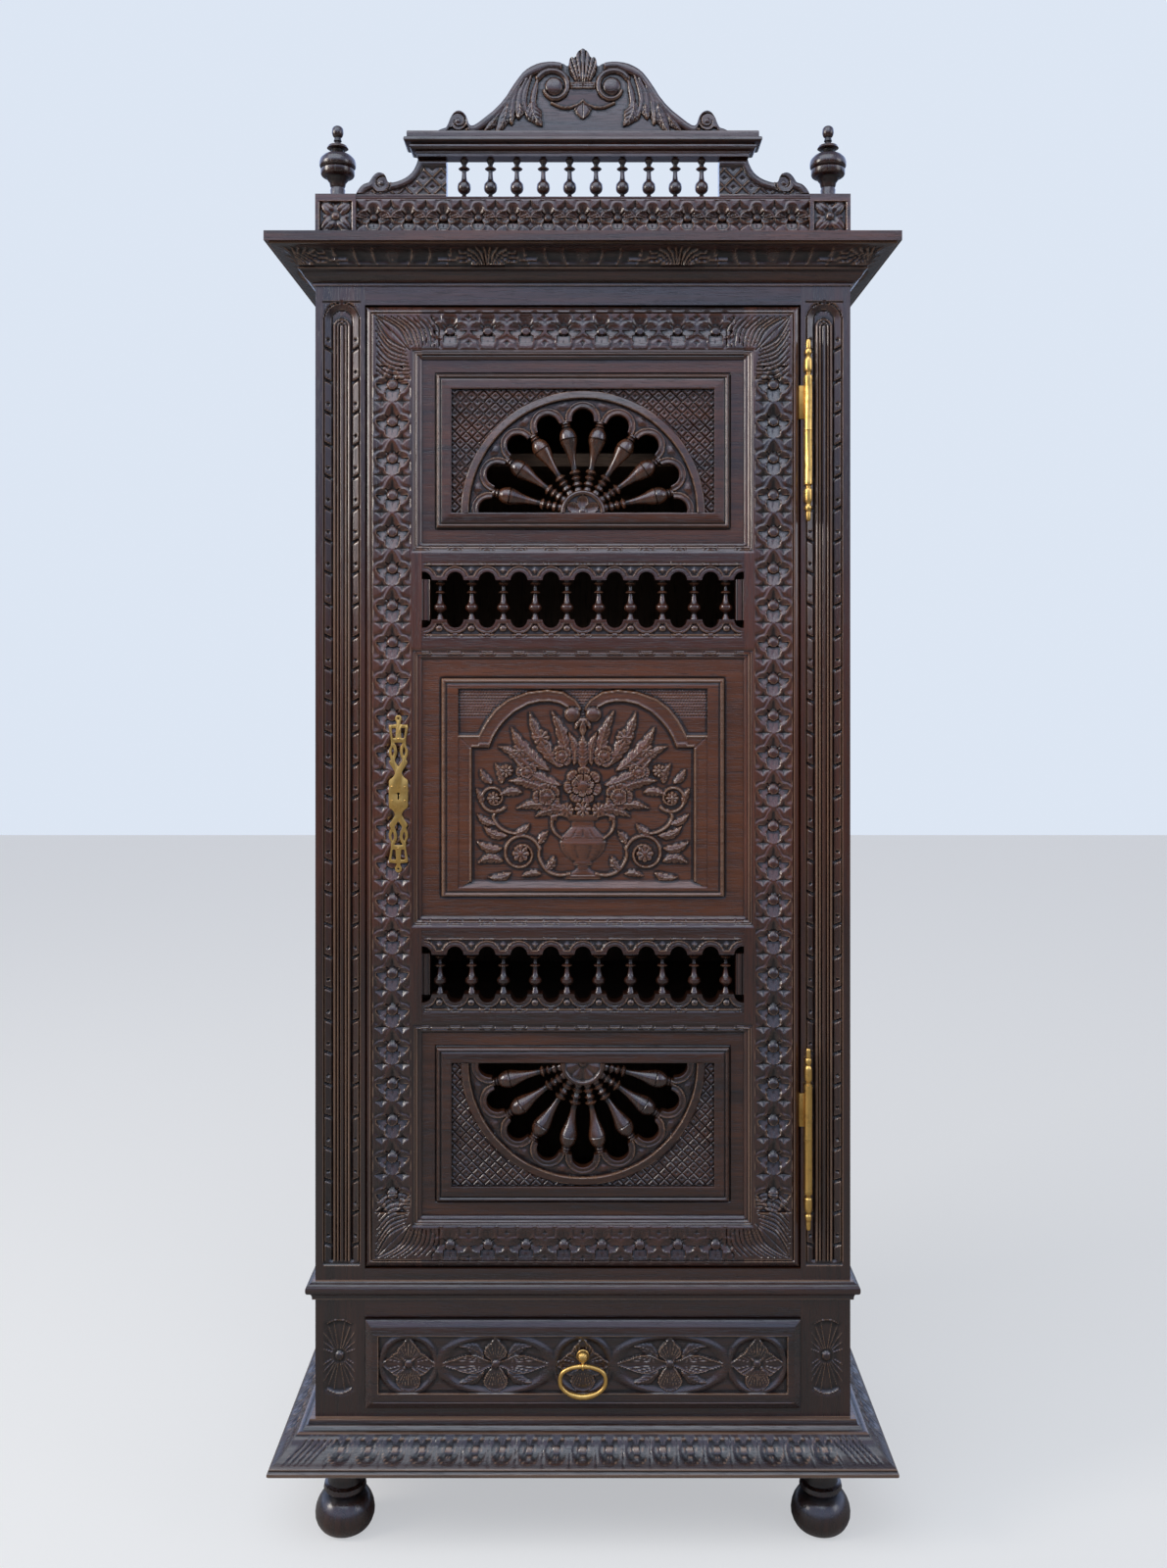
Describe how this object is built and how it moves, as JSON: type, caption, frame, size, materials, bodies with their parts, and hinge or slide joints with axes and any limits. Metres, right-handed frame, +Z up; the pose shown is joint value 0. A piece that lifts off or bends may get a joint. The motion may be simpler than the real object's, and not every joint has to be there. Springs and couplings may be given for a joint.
{
  "type": "bonnetiere cabinet",
  "caption": "Tall narrow carved oak cabinet with a pierced and turned door on brass hinges, a drawer below, bun feet, a deep cornice and a turned gallery with a crest.",
  "frame": {"origin": "on the floor, in the middle of the cabinet's plan", "axes": "+Z up, the front faces -Y, +X to the right as the front is seen"},
  "size_m": [0.856, 0.478, 2.0648],
  "materials": {
    "dark_oak": "dark stained oak, waxed",
    "panel_oak": "brown stained oak, waxed",
    "turned_oak": "polished turned oak",
    "inside_oak": "plain oak boards, unwaxed",
    "brass": "aged polished brass",
    "iron": "dull lock iron"
  },
  "bodies": {
    "cabinet": {"left_front_stile": "dark_oak", "right_front_stile": "dark_oak", "left_side_frame": "dark_oak", "right_side_frame": "dark_oak", "left_lower_side_panel": "dark_oak", "left_upper_side_panel": "dark_oak", "right_lower_side_panel": "dark_oak", "right_upper_side_panel": "dark_oak", "front_top_rail": "dark_oak", "front_middle_rail": "dark_oak", "front_bottom_rail": "dark_oak", "back_panel": "inside_oak", "top_board": "dark_oak", "dust_board": "inside_oak", "base_board": "inside_oak", "lower_shelf": "inside_oak", "middle_shelf": "inside_oak", "upper_shelf": "inside_oak", "cornice_moulding": "dark_oak", "waist_moulding": "dark_oak", "plinth_moulding": "dark_oak", "front_left_foot": "dark_oak", "front_right_foot": "dark_oak", "back_left_foot": "dark_oak", "back_right_foot": "dark_oak", "gallery_frieze": "dark_oak", "gallery_cap": "dark_oak", "left_gallery_bracket": "dark_oak", "right_gallery_bracket": "dark_oak", "left_finial": "dark_oak", "right_finial": "dark_oak", "crest": "dark_oak", "upper_hinge_frame_half": "brass", "lower_hinge_frame_half": "brass"},
    "door": {"door_lock_stile": "dark_oak", "door_hinge_stile": "dark_oak", "door_top_rail": "dark_oak", "door_bottom_rail": "dark_oak", "upper_gallery_top_rail": "dark_oak", "lower_gallery_top_rail": "dark_oak", "upper_gallery_with_spindles": "dark_oak", "lower_gallery_with_spindles": "dark_oak", "upper_fan_panel": "panel_oak", "centre_panel": "panel_oak", "lower_fan_panel": "panel_oak", "upper_fan": "turned_oak", "lower_fan": "turned_oak", "upper_hinge_door_half": "brass", "lower_hinge_door_half": "brass", "lock_case": "iron", "key_plate": "brass"},
    "lock_bolt": {"lock_bolt": "iron"},
    "drawer": {"drawer_front": "dark_oak", "drawer_left_side": "inside_oak", "drawer_right_side": "inside_oak", "drawer_back": "inside_oak", "drawer_bottom": "inside_oak", "pull_post": "brass"},
    "pull_bail": {"pull_bail": "brass"}
  },
  "joints": [
    {"name": "door_hinge", "type": "hinge", "parent": "cabinet", "child": "door", "pos_m": [0.311, -0.1868, 1.0425], "axis": [0, 0, 1], "range_deg": [0, 170]},
    {"name": "lock_bolt_slide", "type": "slide", "parent": "door", "child": "lock_bolt", "axis": [-1, 0, 0], "range_m": [0, 0.01]},
    {"name": "drawer_slide", "type": "slide", "parent": "cabinet", "child": "drawer", "axis": [0, -1, 0], "range_m": [0, 0.3]},
    {"name": "bail_swing", "type": "hinge", "parent": "drawer", "child": "pull_bail", "pos_m": [0, -0.2003, 0.251], "axis": [-1, 0, 0], "range_deg": [0, 85]}
  ]
}
